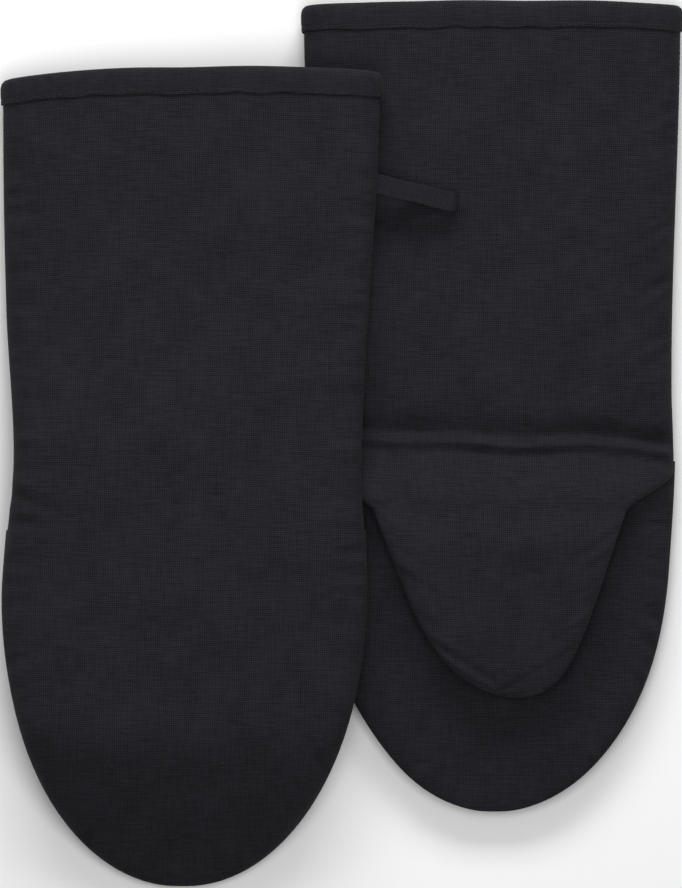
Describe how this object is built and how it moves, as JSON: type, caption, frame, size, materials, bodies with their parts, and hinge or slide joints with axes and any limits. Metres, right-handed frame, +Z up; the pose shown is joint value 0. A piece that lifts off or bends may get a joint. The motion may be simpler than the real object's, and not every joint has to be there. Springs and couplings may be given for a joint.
{
  "type": "heat resistant oven mitt pair",
  "caption": "Pair of long padded cotton mitts for handling hot cookware, each with a thumb pouch that opens like a beak, a bound cuff and a hanging loop.",
  "frame": {"origin": "centre of the pair's footprint, on the surface it lies on", "axes": "+Y from the fingertips to the cuffs, +X across the pair towards the palm-up mitt, +Z up off the surface"},
  "size_m": [0.3227, 0.4147, 0.0459],
  "materials": {
    "outer_cotton": "matte plain-weave canvas, near black",
    "batting": "matte felted fibre",
    "lining": "matte soft twill, charcoal",
    "binding": "matte folded bias tape, near black",
    "loop_tape": "matte folded strap of the outer cloth, near black",
    "thread": "slight sheen, black sewing thread"
  },
  "bodies": {
    "right_mitt": {"right_back_shell": "outer_cotton", "right_back_batting": "batting", "right_back_lining": "lining", "right_cuff_shell": "outer_cotton", "right_cuff_batting": "batting", "right_cuff_lining": "lining", "right_thumb_fold_shell": "outer_cotton", "right_thumb_fold_batting": "batting", "right_thumb_fold_lining": "lining", "right_finger_palm_shell": "outer_cotton", "right_finger_palm_batting": "batting", "right_finger_palm_lining": "lining", "right_cuff_binding": "binding", "right_cuff_binding_stitching": "thread"},
    "right_thumb": {"right_thumb_top_shell": "outer_cotton", "right_thumb_top_batting": "batting", "right_thumb_top_lining": "lining", "right_thumb_under_shell": "outer_cotton", "right_thumb_under_batting": "batting", "right_thumb_under_lining": "lining"},
    "right_loop": {"right_hang_loop": "loop_tape", "right_hang_loop_stitching": "thread"},
    "left_mitt": {"left_back_shell": "outer_cotton", "left_back_batting": "batting", "left_back_lining": "lining", "left_cuff_shell": "outer_cotton", "left_cuff_batting": "batting", "left_cuff_lining": "lining", "left_thumb_fold_shell": "outer_cotton", "left_thumb_fold_batting": "batting", "left_thumb_fold_lining": "lining", "left_finger_palm_shell": "outer_cotton", "left_finger_palm_batting": "batting", "left_finger_palm_lining": "lining", "left_cuff_binding": "binding", "left_cuff_binding_stitching": "thread"},
    "left_thumb": {"left_thumb_top_shell": "outer_cotton", "left_thumb_top_batting": "batting", "left_thumb_top_lining": "lining", "left_thumb_under_shell": "outer_cotton", "left_thumb_under_batting": "batting", "left_thumb_under_lining": "lining"},
    "left_loop": {"left_hang_loop": "loop_tape", "left_hang_loop_stitching": "thread"}
  },
  "joints": [
    {"name": "left_mitt_lift", "type": "slide", "parent": "right_mitt", "child": "left_mitt", "axis": [0, 0, 1], "range_m": [0, 0.2]},
    {"name": "right_thumb_open", "type": "hinge", "parent": "right_mitt", "child": "right_thumb", "pos_m": [0.08053, -0.0151, 0.0215], "axis": [-1, 0, 0], "range_deg": [0, 75], "stiffness_Nm_per_rad": 0.1, "springref_deg": -17.19, "deforming": ["right_thumb_fold_shell", "right_thumb_fold_batting", "right_thumb_fold_lining"]},
    {"name": "left_thumb_open", "type": "hinge", "parent": "left_mitt", "child": "left_thumb", "pos_m": [-0.08199, -0.0471, 0.01908], "axis": [0.9992, 0, 0.0406], "range_deg": [0, 75], "stiffness_Nm_per_rad": 0.1, "springref_deg": -17.19, "deforming": ["left_thumb_fold_shell", "left_thumb_fold_batting", "left_thumb_fold_lining"]},
    {"name": "right_loop_swing", "type": "hinge", "parent": "right_mitt", "child": "right_loop", "pos_m": [-0.0176, 0.1539, 0.01025], "axis": [0, 1, 0], "range_deg": [-80, 5]},
    {"name": "left_loop_swing", "type": "hinge", "parent": "left_mitt", "child": "left_loop", "pos_m": [0.01812, 0.1219, 0.03446], "axis": [0, -1, 0], "range_deg": [0, 90]}
  ]
}
